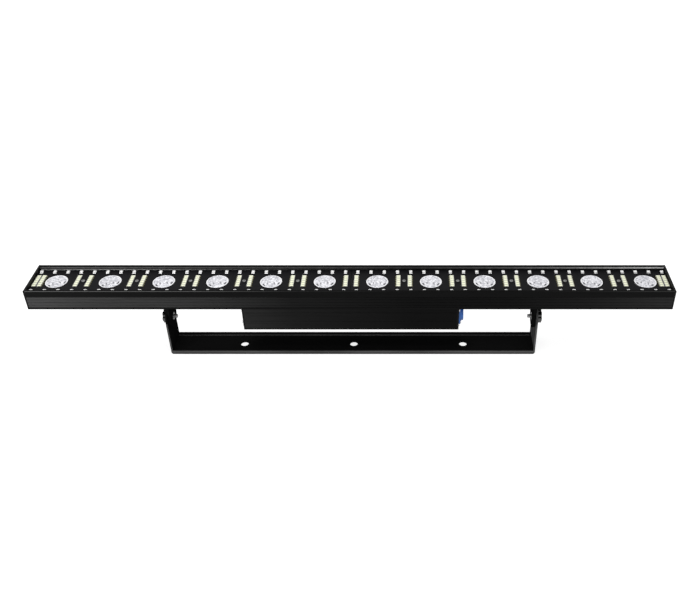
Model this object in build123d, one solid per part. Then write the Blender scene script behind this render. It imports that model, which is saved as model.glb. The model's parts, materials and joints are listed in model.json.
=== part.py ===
from build123d import *
import math
import os

# LED strip batten: a one metre LED bar on a U-shaped floor yoke.
# Millimetres. The origin is on the floor under the middle of the yoke.
# +X runs along the bar, -Y points to the audience side and +Z is up.

# ---- driving dimensions ----
BAR_LENGTH = 1000.0
BAR_WIDTH = 73.6
BAR_HEIGHT = 33.9
BAR_TOP = 133.7
WALL = 2.5
FLOOR_THICK = 2.5
END_PLATE = 3.0
RIM_DEPTH = 6.3
RIM_WIDTH = 4.9
RIM_THICK = 3.6
RIM_ROUND = 0.5
BOARD_THICK = 1.6
LENS_PITCH = 84.0
LENS_MIDDLE_PITCH = 82.4
LENS_COUNT = 12
LENS_DIAMETER = 34.4

YOKE_WIDTH = 592.0
YOKE_DEPTH = 50.0
YOKE_THICK = 3.0
YOKE_LIP = 7.5
YOKE_LIP_BEND = 1.5
YOKE_BEND = 4.0
YOKE_HOLE_SPACING = 180.0
YOKE_HOLE_RADIUS = 6.5
PIVOT_HEIGHT = 60.0

BOX_LENGTH = 338.0
BOX_BOTTOM = 59.6
BOX_WALL = 2.0
BOX_END = 2.5

STUD_RADIUS = 3.0
STUD_HOLE_RADIUS = 3.3
THREAD_GAP = 0.05
KNOB_RADIUS = 11.0
KNOB_LENGTH = 7.0

# ---- values worked out from them ----
HALF_LENGTH = BAR_LENGTH / 2
HALF_WIDTH = BAR_WIDTH / 2
BAR_BOTTOM = BAR_TOP - BAR_HEIGHT
INNER_HALF = HALF_WIDTH - WALL
CHANNEL_HALF = HALF_LENGTH - END_PLATE
BOARD_TOP = BAR_TOP - RIM_DEPTH
BOARD_BOTTOM = BOARD_TOP - BOARD_THICK
FLOOR_TOP = BAR_BOTTOM + FLOOR_THICK
EMITTER_BOARD_THICK = 2.0
EMITTER_TOP = FLOOR_TOP + EMITTER_BOARD_THICK
LENS_TOP = BOARD_TOP - 0.2
ARM_OUTER = YOKE_WIDTH / 2
ARM_INNER = ARM_OUTER - YOKE_THICK
BRACKET_THICK = 4.5
BRACKET_INNER = ARM_INNER - BRACKET_THICK
STUD_PROUD = 7.0
STUD_END = BRACKET_INNER - STUD_PROUD
WASHER_THICK = 1.0
KNOB_INNER = ARM_OUTER + WASHER_THICK
BOX_HALF = BOX_LENGTH / 2
BOX_INNER_HALF = BOX_HALF - BOX_END
BOX_TOP = BAR_BOTTOM
BOX_FLOOR = BOX_BOTTOM + BOX_WALL
SOCKET_Z = 79.5
SOCKET_Y = 16.0

HALF_LENSES = LENS_COUNT // 2
LENS_X = [LENS_MIDDLE_PITCH / 2 + LENS_PITCH * i for i in range(HALF_LENSES)]
LENS_X = sorted([-x for x in LENS_X] + LENS_X)
GAP_X = [(a + b) / 2 for a, b in zip(LENS_X, LENS_X[1:]) if abs(a + b) > 1.0]
COLUMN_OFFSET = 33.05
END_COLUMN_OFFSETS = (22.9, 31.05)
COLUMN_X = sorted(
    [x - COLUMN_OFFSET for x in LENS_X[1:]]
    + [x + COLUMN_OFFSET for x in LENS_X[:-1]]
    + [LENS_X[0] - offset for offset in END_COLUMN_OFFSETS]
    + [LENS_X[-1] + offset for offset in END_COLUMN_OFFSETS]
)
RGB_X = sorted(x + LENS_PITCH * k / 8 for x in LENS_X for k in (-3, -1, 1, 3))
RGB_Y = 26.0

SIDES = (("left", -1), ("right", 1))

os.makedirs("parts", exist_ok=True)


# ---- small helpers ----
def save(name, shape):
    export_step(shape, f"parts/{name}.step")


def group(solids):
    return Compound(children=list(solids))


def block(x0, x1, y0, y1, z0, z1):
    low = Vector(min(x0, x1), min(y0, y1), min(z0, z1))
    high = Vector(max(x0, x1), max(y0, y1), max(z0, z1))
    size = high - low
    centre = (low + high) * 0.5
    return Pos(centre.X, centre.Y, centre.Z) * Box(size.X, size.Y, size.Z)


def rod(x, y, z0, z1, radius):
    return Pos(x, y, (z0 + z1) / 2) * Cylinder(radius, abs(z1 - z0))


def rod_x(x0, x1, y, z, radius):
    return Pos((x0 + x1) / 2, y, z) * Rot(0, 90, 0) * Cylinder(radius, abs(x1 - x0))


def rod_y(x, y0, y1, z, radius):
    return Pos(x, (y0 + y1) / 2, z) * Rot(90, 0, 0) * Cylinder(radius, abs(y1 - y0))


def along_x(face_points, x0, x1):
    face = make_face(Plane.YZ.offset(x0) * Polyline(*face_points, close=True))
    return extrude(face, amount=x1 - x0, dir=(1, 0, 0))


STANDING = (Align.CENTER, Align.CENTER, Align.MIN)
HANGING = (Align.CENTER, Align.CENTER, Align.MAX)
CROSS_WIDTH = 0.9
CROSS_REACH = 1.1
HEAD_ROUNDNESS = 0.55


def pan_head(radius, height):
    head = Cylinder(radius, height, align=STANDING)
    head = fillet(head.edges().sort_by(Axis.Z)[-1], height * HEAD_ROUNDNESS)
    slot = Box(radius * CROSS_REACH, CROSS_WIDTH, height, align=STANDING)
    cross = slot + Rot(0, 0, 90) * slot
    return head - Pos(0, 0, height * HEAD_ROUNDNESS) * cross


def screw(radius, head_radius, head_height, length):
    shank = Cylinder(radius, length, align=HANGING)
    return pan_head(head_radius, head_height) + shank


# ---- yoke: one pressed steel strip, bent up at both ends, with a turned-up lip along each long edge ----
YOKE_EDGE_ROUND = 1.8


def build_yoke():
    outer = ARM_OUTER
    base_y = YOKE_DEPTH / 2
    path_outer = block(-outer, outer, -base_y, base_y, 0, PIVOT_HEIGHT)
    path_outer = fillet(path_outer.edges().filter_by(Axis.Y).sort_by(Axis.Z)[:2], YOKE_BEND)
    inside = block(-outer + YOKE_THICK, outer - YOKE_THICK, -base_y, base_y, YOKE_THICK, PIVOT_HEIGHT + 1)
    inner_bend = YOKE_BEND - YOKE_THICK
    inside = fillet(inside.edges().filter_by(Axis.Y).sort_by(Axis.Z)[:2], inner_bend)
    strip = path_outer - inside
    for _, side in SIDES:
        strip += rod_x(side * ARM_INNER, side * ARM_OUTER, 0, PIVOT_HEIGHT, base_y)
    lip_half = ARM_INNER + YOKE_THICK / 2
    for sign in (-1, 1):
        lip_inner = sign * (base_y - YOKE_THICK)
        strip += block(-lip_half, lip_half, lip_inner, sign * base_y, YOKE_THICK / 2, YOKE_LIP)
        bend_y = lip_inner - sign * YOKE_LIP_BEND
        bend_z = YOKE_THICK + YOKE_LIP_BEND
        bend = block(-lip_half, lip_half, bend_y, lip_inner, YOKE_THICK - 0.5, bend_z)
        strip += bend - rod_x(-lip_half - 1, lip_half + 1, bend_y, bend_z, YOKE_LIP_BEND)
    bottom_edges = strip.edges().filter_by(Axis.X).group_by(Axis.Z)[0]
    strip = fillet(bottom_edges, YOKE_EDGE_ROUND)
    for x in (-YOKE_HOLE_SPACING, 0, YOKE_HOLE_SPACING):
        strip -= rod(x, 0, -1, YOKE_THICK + 1, YOKE_HOLE_RADIUS)
    for _, side in SIDES:
        strip -= rod_x(side * (ARM_INNER - 1), side * (ARM_OUTER + 1), 0, PIVOT_HEIGHT, STUD_HOLE_RADIUS)
    return strip


# ---- clamp hardware, built for the right side and mirrored for the left ----
def mirrored(shape, side):
    return shape if side > 0 else mirror(shape, Plane.YZ)


KNOB_LOBES = 6
KNOB_FLUTE_RADIUS = 3.6
KNOB_FLUTE_CIRCLE = KNOB_RADIUS + 1.6
KNOB_HUB_RADIUS = 4.0
KNOB_HUB_DEPTH = 1.0
KNOB_ROUND = 0.9
STUD_IN_KNOB = 4.5
STUD_TIP = 0.8
WASHER_RADIUS = 7.5
BUSH_RADIUS = 4.8
BUSH_RIM_RADIUS = 6.0
BUSH_RIM = 0.6


def build_knob():
    face = KNOB_INNER + KNOB_LENGTH
    body = rod_x(KNOB_INNER, face, 0, PIVOT_HEIGHT, KNOB_RADIUS)
    for i in range(KNOB_LOBES):
        angle = math.radians(360 / KNOB_LOBES * (i + 0.5))
        y = KNOB_FLUTE_CIRCLE * math.cos(angle)
        z = PIVOT_HEIGHT + KNOB_FLUTE_CIRCLE * math.sin(angle)
        body -= rod_x(KNOB_INNER - 1, face + 1, y, z, KNOB_FLUTE_RADIUS)
    outer_face = body.faces().sort_by(Axis.X)[-1]
    body = fillet(outer_face.edges(), KNOB_ROUND)
    hub_recess = rod_x(face - KNOB_HUB_DEPTH, face + 1, 0, PIVOT_HEIGHT, KNOB_HUB_RADIUS)
    socket = rod_x(KNOB_INNER - 1, KNOB_INNER + STUD_IN_KNOB, 0, PIVOT_HEIGHT, STUD_RADIUS)
    return body - hub_recess - socket


def build_stud():
    stud = rod_x(STUD_END, KNOB_INNER + STUD_IN_KNOB, 0, PIVOT_HEIGHT, STUD_RADIUS)
    return chamfer(stud.edges().sort_by(Axis.X)[0], STUD_TIP)


def build_clamp_washer():
    ring = rod_x(ARM_OUTER, ARM_OUTER + WASHER_THICK, 0, PIVOT_HEIGHT, WASHER_RADIUS)
    return ring - rod_x(ARM_OUTER - 1, KNOB_INNER + 1, 0, PIVOT_HEIGHT, STUD_HOLE_RADIUS)


def build_clamp_nut():
    back = BRACKET_INNER - BUSH_RIM
    nut = rod_x(back, BRACKET_INNER, 0, PIVOT_HEIGHT, BUSH_RIM_RADIUS)
    nut += rod_x(back, ARM_INNER, 0, PIVOT_HEIGHT, BUSH_RADIUS)
    return nut - rod_x(back - 1, ARM_INNER + 1, 0, PIVOT_HEIGHT, STUD_RADIUS + THREAD_GAP)


BRACKET_HALF = 18.5
BRACKET_FOOT = 26.0
BRACKET_BEND = 1.5
BRACKET_SCREW_X = ARM_INNER - 17.0
FOUND_WITHIN = 0.1
BRACKET_SCREW_Y = 12.0
BRACKET_SCREW_HOLE = 2.2


def build_hinge_bracket():
    foot_bottom = BAR_BOTTOM - BRACKET_THICK
    foot_end = ARM_INNER - BRACKET_FOOT
    leg = block(BRACKET_INNER, ARM_INNER, -BRACKET_HALF, BRACKET_HALF, PIVOT_HEIGHT, BAR_BOTTOM)
    leg += rod_x(BRACKET_INNER, ARM_INNER, 0, PIVOT_HEIGHT, BRACKET_HALF)
    foot = block(foot_end, ARM_INNER, -BRACKET_HALF, BRACKET_HALF, foot_bottom, BAR_BOTTOM)
    bracket = leg + foot
    corner = bracket.edges().filter_by(Axis.Y)
    corner = corner.filter_by_position(Axis.X, BRACKET_INNER - FOUND_WITHIN, BRACKET_INNER + FOUND_WITHIN)
    corner = corner.filter_by_position(Axis.Z, foot_bottom - FOUND_WITHIN, foot_bottom + FOUND_WITHIN)
    bracket = fillet(corner, BRACKET_BEND)
    bracket -= rod_x(BRACKET_INNER - 1, ARM_INNER + 1, 0, PIVOT_HEIGHT, BUSH_RADIUS)
    for y in (-BRACKET_SCREW_Y, BRACKET_SCREW_Y):
        bracket -= rod(BRACKET_SCREW_X, y, foot_bottom - 1, BAR_BOTTOM + 1, BRACKET_SCREW_HOLE)
    return bracket


# ---- housing: one ribbed aluminium extrusion ----
BOSS_RADIUS = 3.2
BOSS_HOLE = 1.5
BOSS_Y = 29.6
BOSS_INTO_WALL = 1.2
BOSS_LOW_Z = FLOOR_TOP + 2.4
BOSS_HIGH_Z = BOARD_BOTTOM - 4.4
LEDGE_REACH = 4.5
LEDGE_THICK = 2.0
GROOVE_DEPTH = 0.7
GROOVE_DROPS = (11.7, 15.8, 21.0, 26.5, 30.5)
GROOVE_HALF = 0.55
STANDOFF_HOLE = 1.55
STANDOFF_SKIN = 0.8
FRAME_SCREW_HOLE = 2.0
GROMMET_HOLE = 8.0
BOX_SCREW_X = 120.0
BOX_SCREW_Y = 23.5


def housing_section():
    half = HALF_WIDTH
    points = [(-half, BAR_TOP), (-half, BAR_BOTTOM), (half, BAR_BOTTOM), (half, BAR_TOP)]
    right_wall = [
        (half - RIM_WIDTH, BAR_TOP),
        (half - RIM_WIDTH, BAR_TOP - RIM_THICK),
        (INNER_HALF, BAR_TOP - RIM_THICK),
        (INNER_HALF, BOARD_BOTTOM),
        (INNER_HALF - LEDGE_REACH, BOARD_BOTTOM),
        (INNER_HALF - LEDGE_REACH, BOARD_BOTTOM - LEDGE_THICK),
        (INNER_HALF, BOARD_BOTTOM - LEDGE_THICK),
        (INNER_HALF, FLOOR_TOP),
    ]
    left_wall = [(-y, z) for y, z in reversed(right_wall)]
    return points + right_wall + left_wall


def build_housing():
    body = along_x(housing_section(), -CHANNEL_HALF, CHANNEL_HALF)
    body = fillet(body.edges().filter_by(Axis.X).group_by(Axis.Z)[-1], RIM_ROUND)
    for sign in (-1, 1):
        for z in (BOSS_LOW_Z, BOSS_HIGH_Z):
            body += rod_x(-CHANNEL_HALF, CHANNEL_HALF, sign * (BOSS_Y + BOSS_INTO_WALL), z, BOSS_RADIUS)
            body -= rod_x(-CHANNEL_HALF - 1, CHANNEL_HALF + 1, sign * BOSS_Y, z, BOSS_HOLE)
        for drop in GROOVE_DROPS:
            z = BAR_TOP - drop
            groove = [
                (sign * (HALF_WIDTH + 1), z + GROOVE_HALF * 2),
                (sign * (HALF_WIDTH - GROOVE_DEPTH), z),
                (sign * (HALF_WIDTH + 1), z - GROOVE_HALF * 2),
            ]
            body -= along_x(groove, -CHANNEL_HALF - 1, CHANNEL_HALF + 1)
    for x in GAP_X:
        body -= rod(x, 0, BAR_BOTTOM + STANDOFF_SKIN, FLOOR_TOP + 1, STANDOFF_HOLE)
    for _, side in SIDES:
        for y in (-BRACKET_SCREW_Y, BRACKET_SCREW_Y):
            body -= rod(side * BRACKET_SCREW_X, y, BAR_BOTTOM - 1, FLOOR_TOP + 1, FRAME_SCREW_HOLE)
    for x in (-BOX_SCREW_X, BOX_SCREW_X):
        for y in (-BOX_SCREW_Y, BOX_SCREW_Y):
            body -= rod(x, y, BAR_BOTTOM - 1, FLOOR_TOP + 1, FRAME_SCREW_HOLE)
    body -= rod(0, 0, BAR_BOTTOM - 1, FLOOR_TOP + 1, GROMMET_HOLE)
    return body


# ---- end plates and their screws ----
END_SCREW_HEAD = 1.3
END_SCREW_HEAD_RADIUS = 2.8
END_SCREW_SEAT_RADIUS = 3.1
END_SCREW_RADIUS = 1.45
END_SCREW_HOLE = 1.7
END_SCREW_DEPTH = 8.0
END_PLATE_EDGE = 0.5


def screw_places():
    return [(sign * BOSS_Y, z) for sign in (-1, 1) for z in (BOSS_LOW_Z, BOSS_HIGH_Z)]


def build_end_plate():
    plate = block(CHANNEL_HALF, HALF_LENGTH, -HALF_WIDTH, HALF_WIDTH, BAR_BOTTOM, BAR_TOP)
    plate = chamfer(plate.faces().sort_by(Axis.X)[-1].edges(), END_PLATE_EDGE)
    for y, z in screw_places():
        plate -= rod_x(CHANNEL_HALF - 1, HALF_LENGTH + 1, y, z, END_SCREW_HOLE)
        plate -= rod_x(HALF_LENGTH - END_SCREW_HEAD, HALF_LENGTH + 1, y, z, END_SCREW_SEAT_RADIUS)
    return plate


def build_end_plate_screws():
    solids = []
    length = END_PLATE + END_SCREW_DEPTH
    upright = screw(END_SCREW_RADIUS, END_SCREW_HEAD_RADIUS, END_SCREW_HEAD, length)
    for _, side in SIDES:
        for y, z in screw_places():
            fastener = Rot(0, 90, 0) * upright
            solids.append(mirrored(Pos(HALF_LENGTH - END_SCREW_HEAD, y, z) * fastener, side))
    return group(solids)


# ---- LED boards at the front ----
LENS_HOLE = LENS_DIAMETER / 2 + 0.4
BOARD_SIDE_GAP = 0.3
BOARD_HALF_GAP = 0.25
BOARD_SCREW_HOLE = 1.7
BOARD_SCREW_RADIUS = 1.5
BOARD_SCREW_HEAD_RADIUS = 2.9
BOARD_SCREW_HEAD = 1.9
BOARD_SCREW_DEPTH = 6.0


def build_led_board(side):
    outer = CHANNEL_HALF - BOARD_SIDE_GAP
    width = INNER_HALF - BOARD_SIDE_GAP
    board = block(side * BOARD_HALF_GAP, side * outer, -width, width, BOARD_BOTTOM, BOARD_TOP)
    for x in LENS_X:
        if x * side > 0:
            board -= rod(x, 0, BOARD_BOTTOM - 1, BOARD_TOP + 1, LENS_HOLE)
    for x in GAP_X:
        if x * side > 0:
            board -= rod(x, 0, BOARD_BOTTOM - 1, BOARD_TOP + 1, BOARD_SCREW_HOLE)
    return board


def build_board_screws():
    length = BOARD_THICK + BOARD_SCREW_DEPTH
    fastener = screw(BOARD_SCREW_RADIUS, BOARD_SCREW_HEAD_RADIUS, BOARD_SCREW_HEAD, length)
    return group(Pos(x, 0, BOARD_TOP) * fastener for x in GAP_X)


RGB_SIZE = 5.0
RGB_HEIGHT = 1.6
RGB_CUP_RADIUS = 2.0
RGB_CUP_DEPTH = 0.3
WHITE_LENGTH = 6.6
WHITE_WIDTH = 4.8
WHITE_HEIGHT = 1.2
WHITE_PITCH = 5.1
WHITE_PER_COLUMN = 6


def build_rgb_leds():
    package = Box(RGB_SIZE, RGB_SIZE, RGB_HEIGHT, align=STANDING)
    package -= rod(0, 0, RGB_HEIGHT - RGB_CUP_DEPTH, RGB_HEIGHT + 1, RGB_CUP_RADIUS)
    return group(Pos(x, y, BOARD_TOP) * package for x in RGB_X for y in (-RGB_Y, RGB_Y))


def build_white_leds():
    package = Box(WHITE_LENGTH, WHITE_WIDTH, WHITE_HEIGHT, align=STANDING)
    middle = (WHITE_PER_COLUMN - 1) / 2
    rows = [(i - middle) * WHITE_PITCH for i in range(WHITE_PER_COLUMN)]
    return group(Pos(x, y, BOARD_TOP) * package for x in COLUMN_X for y in rows)


# ---- lenses, their holders, emitters and emitter boards ----
LENS_RADIUS = LENS_DIAMETER / 2
LENS_FLANGE_BOTTOM = LENS_TOP - 2.8
LENS_BOTTOM = EMITTER_TOP + 1.8
LENS_RIM = 1.6
LENS_RIM_SLOPE = 0.8
LENS_FACE_DROP = 1.0
LENS_POCKET_RADIUS = 6.4
LENS_CROWN_RADIUS = 5.6
LENS_CROWN_RISE = 1.1
LENS_CROWN_DROP = 2.3
LENS_FOOT = ((7.0, 0.0), (11.2, 5.5), (13.9, 12.0))
LENS_HOLLOW_TOP = 5.0
LENS_HOLLOW = (4.2, 4.0)
LENS_NECK_RADIUS = LENS_RADIUS - 1.2
HOLDER_OUTER = LENS_RADIUS + 1.4
HOLDER_INNER = LENS_RADIUS - 0.7
HOLDER_FLOOR = 1.5
HOLDER_HOLE = 4.0


def build_lens(x):
    crown_top = LENS_TOP - LENS_CROWN_DROP
    crown_foot = crown_top - LENS_CROWN_RISE
    crown_middle = LENS_CROWN_RADIUS / 2
    ball = (LENS_CROWN_RADIUS**2 + LENS_CROWN_RISE**2) / (2 * LENS_CROWN_RISE)
    halfway = crown_top - ball + math.sqrt(ball**2 - crown_middle**2)
    crown = ThreePointArc((LENS_CROWN_RADIUS, crown_foot), (crown_middle, halfway), (0, crown_top))
    rim_inner = LENS_RADIUS - LENS_RIM
    face = LENS_TOP - LENS_FACE_DROP
    outline = Polyline(
        (0, crown_top),
        (0, LENS_BOTTOM + LENS_HOLLOW_TOP),
        (LENS_HOLLOW[1], LENS_BOTTOM + LENS_HOLLOW_TOP),
        (LENS_HOLLOW[0], LENS_BOTTOM),
        *[(radius, LENS_BOTTOM + rise) for radius, rise in LENS_FOOT],
        (LENS_NECK_RADIUS, LENS_FLANGE_BOTTOM),
        (LENS_RADIUS, LENS_FLANGE_BOTTOM),
        (LENS_RADIUS, LENS_TOP),
        (rim_inner, LENS_TOP),
        (rim_inner - LENS_RIM_SLOPE, face),
        (LENS_POCKET_RADIUS, face),
        (LENS_CROWN_RADIUS, crown_foot),
    )
    return Pos(x, 0, 0) * revolve(make_face(Plane.XZ * (outline + crown)), Axis.Z)


def build_lens_holders():
    solids = []
    for x in LENS_X:
        cup = rod(x, 0, EMITTER_TOP, LENS_FLANGE_BOTTOM, HOLDER_OUTER)
        cup -= rod(x, 0, EMITTER_TOP + HOLDER_FLOOR, LENS_FLANGE_BOTTOM + 1, HOLDER_INNER)
        cup -= rod(x, 0, EMITTER_TOP - 1, EMITTER_TOP + HOLDER_FLOOR + 1, HOLDER_HOLE)
        solids.append(cup)
    return group(solids)


EMITTER_SIZE = 5.0
EMITTER_BASE = 0.8
EMITTER_DOME_RADIUS = 2.3
EMITTER_DOME = 1.6
EMITTER_DOME_ROUND = 1.2
EMITTER_BOARD_START = 12.0
EMITTER_BOARD_END = CHANNEL_HALF - 5.0
EMITTER_BOARD_HALF = 20.0
EMITTER_BOARD_HOLE = 1.6


def build_power_leds():
    base = Box(EMITTER_SIZE, EMITTER_SIZE, EMITTER_BASE, align=STANDING)
    dome = Pos(0, 0, EMITTER_BASE) * Cylinder(EMITTER_DOME_RADIUS, EMITTER_DOME, align=STANDING)
    dome = fillet(dome.edges().sort_by(Axis.Z)[-1], EMITTER_DOME_ROUND)
    return group(Pos(x, 0, EMITTER_TOP) * (base + dome) for x in LENS_X)


def build_power_led_boards():
    solids = []
    half = EMITTER_BOARD_HALF
    for _, side in SIDES:
        near = side * EMITTER_BOARD_START
        far = side * EMITTER_BOARD_END
        board = block(near, far, -half, half, FLOOR_TOP, EMITTER_TOP)
        for x in GAP_X:
            if x * side > 0:
                board -= rod(x, 0, FLOOR_TOP - 1, EMITTER_TOP + 1, EMITTER_BOARD_HOLE)
        solids.append(board)
    return group(solids)


STANDOFF_FLATS = 6.0
STANDOFF_THREAD = 8.0
STANDOFF_PIN_RADIUS = 1.5
STANDOFF_PIN_SKIN = 1.0
STANDOFF_OVERLAP = 0.5


def build_board_standoffs():
    solids = []
    for x in GAP_X:
        outline = RegularPolygon(STANDOFF_FLATS / 2, 6, major_radius=False)
        post = extrude(Pos(x, 0, EMITTER_TOP) * outline, amount=BOARD_BOTTOM - EMITTER_TOP)
        post -= rod(x, 0, BOARD_BOTTOM - STANDOFF_THREAD, BOARD_BOTTOM + 1, STANDOFF_HOLE)
        pin_bottom = BAR_BOTTOM + STANDOFF_PIN_SKIN
        post += rod(x, 0, pin_bottom, EMITTER_TOP + STANDOFF_OVERLAP, STANDOFF_PIN_RADIUS)
        solids.append(post)
    return group(solids)


# ---- driver box ----
BOX_GROOVE_DROPS = (40.9, 57.0)
BOX_INSIDE_HALF = HALF_WIDTH - BOX_WALL
BOX_FLANGE = BOX_INSIDE_HALF - BOX_SCREW_Y + 4.0
BOX_FLANGE_THICK = 1.5
BOX_CORNER_Y = 31.9
BOX_CORNER_INNER = 28.8
BOX_CORNER_LENGTH = 9.0
BOX_CORNER_LOW = 66.2
BOX_CORNER_HIGH = 94.8
BOX_CORNER_HALF = 3.0
BOX_CORNER_HOLE = 1.3
BOX_EDGE_ROUND = 1.5
BOX_SCREW_HOLE = 1.75
PANEL_HALF_X = 56.0
PANEL_HALF_Z = 13.5
PANEL_Z = 80.0
PANEL_RECESS = 1.2


def build_driver_box():
    tray = block(-BOX_INNER_HALF, BOX_INNER_HALF, -HALF_WIDTH, HALF_WIDTH, BOX_BOTTOM, BOX_TOP)
    bottom_edges = tray.edges().filter_by(Axis.X).group_by(Axis.Z)[0]
    tray = fillet(bottom_edges, BOX_EDGE_ROUND)
    reach = BOX_INNER_HALF + 1
    tray -= block(-reach, reach, -BOX_INSIDE_HALF, BOX_INSIDE_HALF, BOX_FLOOR, BOX_TOP + 1)
    for sign in (-1, 1):
        near = sign * BOX_INSIDE_HALF
        flange_edge = sign * (BOX_INSIDE_HALF - BOX_FLANGE)
        flange_bottom = BOX_TOP - BOX_FLANGE_THICK
        tray += block(-BOX_INNER_HALF, BOX_INNER_HALF, flange_edge, near, flange_bottom, BOX_TOP)
        for x in (-BOX_SCREW_X, BOX_SCREW_X):
            tray -= rod(x, sign * BOX_SCREW_Y, BOX_TOP - 3, BOX_TOP + 1, BOX_SCREW_HOLE)
        for _, side in SIDES:
            for z in (BOX_CORNER_LOW, BOX_CORNER_HIGH):
                x0 = side * (BOX_INNER_HALF - BOX_CORNER_LENGTH)
                x1 = side * BOX_INNER_HALF
                low = z - BOX_CORNER_HALF
                high = z + BOX_CORNER_HALF
                corner = block(x0, x1, sign * BOX_CORNER_INNER, near, low, high)
                tray += corner - rod_x(x0 - side, x1 + side, sign * BOX_CORNER_Y, z, BOX_CORNER_HOLE)
        for drop in BOX_GROOVE_DROPS:
            z = BAR_TOP - drop
            groove = [
                (sign * (HALF_WIDTH + 1), z + GROOVE_HALF * 2),
                (sign * (HALF_WIDTH - GROOVE_DEPTH), z),
                (sign * (HALF_WIDTH + 1), z - GROOVE_HALF * 2),
            ]
            tray -= along_x(groove, -BOX_INNER_HALF - 1, BOX_INNER_HALF + 1)
    low = PANEL_Z - PANEL_HALF_Z
    high = PANEL_Z + PANEL_HALF_Z
    return tray - block(-PANEL_HALF_X, PANEL_HALF_X, BOX_INSIDE_HALF - 1, HALF_WIDTH + 1, low, high)


CONNECTOR_HOLE = 12.1
CONNECTOR_SCREW_Y = 9.5
CONNECTOR_SCREW_Z = 12.0
CONNECTOR_SCREW_ROOM = 2.9
CONNECTOR_SCREW_PLACES = ((-CONNECTOR_SCREW_Y, -CONNECTOR_SCREW_Z), (CONNECTOR_SCREW_Y, CONNECTOR_SCREW_Z))
LATCH_Z = 11.6
LATCH_HALF_Y = 3.6
LATCH_HALF_Z = 1.9
LATCH_GAP = 0.15
LATCH_PROUD = 2.6
LATCH_TRAVEL = 1.5
LATCH_LENGTH = 7.0


def box_corner_places():
    return [(sign * BOX_CORNER_Y, z) for sign in (-1, 1) for z in (BOX_CORNER_LOW, BOX_CORNER_HIGH)]


def build_driver_end_plate():
    plate = block(BOX_INNER_HALF, BOX_HALF, -HALF_WIDTH, HALF_WIDTH, BOX_BOTTOM, BOX_TOP)
    bottom_edges = plate.edges().filter_by(Axis.X).group_by(Axis.Z)[0]
    plate = fillet(bottom_edges, BOX_EDGE_ROUND)
    for y, z in box_corner_places():
        plate -= rod_x(BOX_INNER_HALF - 1, BOX_HALF + 1, y, z, 1.6)
    for centre in (-SOCKET_Y, SOCKET_Y):
        plate -= rod_x(BOX_INNER_HALF - 1, BOX_HALF + 1, centre, SOCKET_Z, CONNECTOR_HOLE)
        for dy, dz in CONNECTOR_SCREW_PLACES:
            plate -= rod_x(BOX_INNER_HALF - 1, BOX_HALF + 1, centre + dy, SOCKET_Z + dz, 1.3)
    notch_top = SOCKET_Z + LATCH_Z + LATCH_HALF_Z + 0.4
    notch_y = LATCH_HALF_Y + LATCH_GAP + 1.2
    y0 = SOCKET_Y - notch_y
    y1 = SOCKET_Y + notch_y
    return plate - block(BOX_INNER_HALF - 1, BOX_HALF + 1, y0, y1, SOCKET_Z, notch_top)


def build_driver_end_screws():
    solids = []
    for _, side in SIDES:
        for y, z in box_corner_places():
            fastener = Rot(0, 90, 0) * screw(1.25, 2.4, 1.5, BOX_END + 7)
            solids.append(mirrored(Pos(BOX_HALF, y, z) * fastener, side))
    return group(solids)


def build_mounting_screws():
    solids = []
    for _, side in SIDES:
        for y in (-BOX_SCREW_Y, BOX_SCREW_Y):
            fastener = screw(1.7, 3.2, 2.0, FLOOR_THICK + BOX_FLANGE_THICK + 2)
            solids.append(Pos(side * BOX_SCREW_X, y, FLOOR_TOP) * fastener)
        for y in (-BRACKET_SCREW_Y, BRACKET_SCREW_Y):
            fastener = Rot(180, 0, 0) * screw(1.95, 3.6, 2.2, BRACKET_THICK + FLOOR_THICK - 0.3)
            solids.append(Pos(side * BRACKET_SCREW_X, y, BAR_BOTTOM - BRACKET_THICK) * fastener)
    return group(solids)


# ---- connectors, all in the same round-bodied panel size ----
CONNECTOR_HALF_Y = 13.0
CONNECTOR_HALF_Z = 15.5
POWER_FLANGE = 3.0
POWER_COLLAR = 7.5
POWER_COLLAR_RADIUS = 12.8
SIGNAL_FLANGE = 2.0
CONNECTOR_BODY = 24.0
CAVITY_RADIUS = 9.8
CAVITY_DEPTH = 20.0
CORE_RADIUS = 4.0
SIGNAL_CAVITY_RADIUS = 8.6
SIGNAL_PIN_RADIUS = 1.2
SIGNAL_PIN_CIRCLE = 4.8


def connector_flange(thickness):
    flange = block(BOX_HALF, BOX_HALF + thickness, -CONNECTOR_HALF_Y, CONNECTOR_HALF_Y,
                   -CONNECTOR_HALF_Z, CONNECTOR_HALF_Z)
    flange = fillet(flange.edges().filter_by(Axis.X), 2.5)
    flange += rod_x(BOX_HALF - CONNECTOR_BODY, BOX_HALF, 0, 0, 12.0)
    for dy, dz in CONNECTOR_SCREW_PLACES:
        flange -= rod_x(BOX_HALF - 1, BOX_HALF + thickness + 1, dy, dz, 1.6)
    return flange


def build_power_connector():
    front = BOX_HALF + POWER_COLLAR
    body = connector_flange(POWER_FLANGE)
    collar = rod_x(BOX_HALF, front, 0, 0, POWER_COLLAR_RADIUS)
    collar = fillet(collar.edges().sort_by(Axis.X)[-1], 0.8)
    body += collar
    for dy, dz in CONNECTOR_SCREW_PLACES:
        body -= rod_x(BOX_HALF + POWER_FLANGE, front + 1, dy, dz, CONNECTOR_SCREW_ROOM)
    body -= rod_x(front - CAVITY_DEPTH, front + 1, 0, 0, CAVITY_RADIUS)
    return body + rod_x(front - CAVITY_DEPTH - 1, front - 2.0, 0, 0, CORE_RADIUS)


def signal_pin_places():
    angles = [math.radians(a) for a in (90, 210, 330)]
    return [(SIGNAL_PIN_CIRCLE * math.cos(a), SIGNAL_PIN_CIRCLE * math.sin(a)) for a in angles]


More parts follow.
